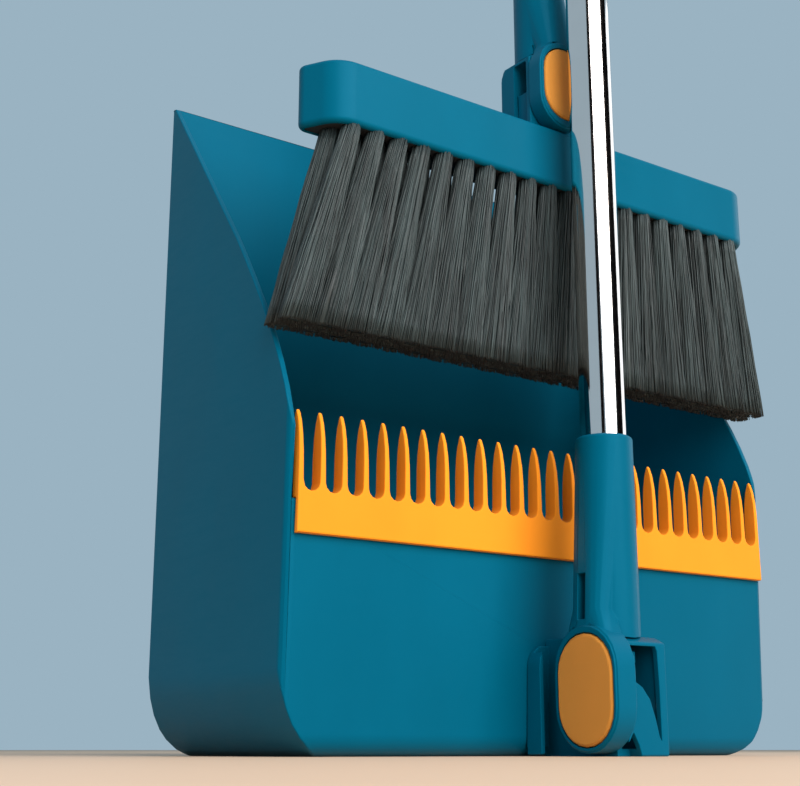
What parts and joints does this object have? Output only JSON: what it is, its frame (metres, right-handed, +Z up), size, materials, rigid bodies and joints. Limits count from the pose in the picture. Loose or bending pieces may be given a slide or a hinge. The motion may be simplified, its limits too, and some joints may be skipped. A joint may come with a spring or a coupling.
{
  "type": "dust pan and brush set",
  "caption": "Upright dust pan with a comb along its hood and a folding pole, storing a long-handled brush whose bristles hang inside the pan's open mouth.",
  "frame": {"origin": "middle of the pan's closed end, on the floor it stands on", "axes": "+Z up along both poles, +X to the right along the pan's width, +Y from the hood towards the pan's floor plate"},
  "size_m": [0.298, 0.1728, 0.9863],
  "materials": {
    "teal_plastic": "satin moulded",
    "dark_teal_plastic": "satin moulded",
    "yellow_plastic": "satin moulded",
    "orange_plastic": "satin moulded",
    "chrome_tube": "polished",
    "steel_hardware": "plated",
    "bristle_fibre": "fine synthetic fibre",
    "bristle_base_plastic": "matte"
  },
  "bodies": {
    "pan": {"pan_shell": "teal_plastic", "pan_comb": "yellow_plastic", "pan_bracket": "teal_plastic", "bracket_screw_1": "steel_hardware", "bracket_screw_2": "steel_hardware", "bracket_screw_3": "steel_hardware", "pan_pin": "steel_hardware"},
    "pole": {"pan_socket": "teal_plastic", "pan_button_spring": "steel_hardware", "pan_tube_lower": "chrome_tube", "pan_coupler": "dark_teal_plastic", "pan_tube_upper": "chrome_tube", "pan_grip": "dark_teal_plastic", "pan_grip_cap": "orange_plastic", "pole_clip": "dark_teal_plastic"},
    "pan_button": {"pan_button": "orange_plastic"},
    "broom": {"broom_neck": "teal_plastic", "broom_button_spring": "steel_hardware", "broom_tube_lower": "chrome_tube", "broom_coupler": "dark_teal_plastic", "broom_tube_upper": "chrome_tube", "broom_grip": "dark_teal_plastic", "broom_grip_cap": "orange_plastic"},
    "broom_button": {"broom_button": "orange_plastic"},
    "head": {"broom_head": "teal_plastic", "bristle_base": "bristle_base_plastic", "bristles_front": "bristle_fibre", "bristles_back": "bristle_fibre", "head_yoke": "teal_plastic", "yoke_screw_1": "steel_hardware", "yoke_screw_2": "steel_hardware", "head_pin": "steel_hardware"}
  },
  "joints": [
    {"name": "pole_fold", "type": "hinge", "parent": "pan", "child": "pole", "pos_m": [0, -0.0998, 0.02], "axis": [1, 0, 0], "range_deg": [0, 90]},
    {"name": "pan_button_press", "type": "slide", "parent": "pole", "child": "pan_button", "axis": [1, 0, 0], "range_m": [0, 0.003], "stiffness_N_per_m": 500, "springref_m": -0.002, "deforming": ["pan_button_spring"]},
    {"name": "broom_lift", "type": "slide", "parent": "pole", "child": "broom", "axis": [0, 0, 1], "range_m": [0, 0.25]},
    {"name": "broom_button_press", "type": "slide", "parent": "broom", "child": "broom_button", "axis": [0, 1, 0], "range_m": [0, 0.0025], "stiffness_N_per_m": 500, "springref_m": -0.002, "deforming": ["broom_button_spring"]},
    {"name": "head_turn", "type": "hinge", "parent": "broom", "child": "head", "pos_m": [0, -0.066, 0.3115], "axis": [0, 1, 0], "range_deg": [0, 90]}
  ],
  "couplings": [
    {"joint": "head_turn", "follows": "broom_lift", "rad_per_m": 6.283}
  ]
}
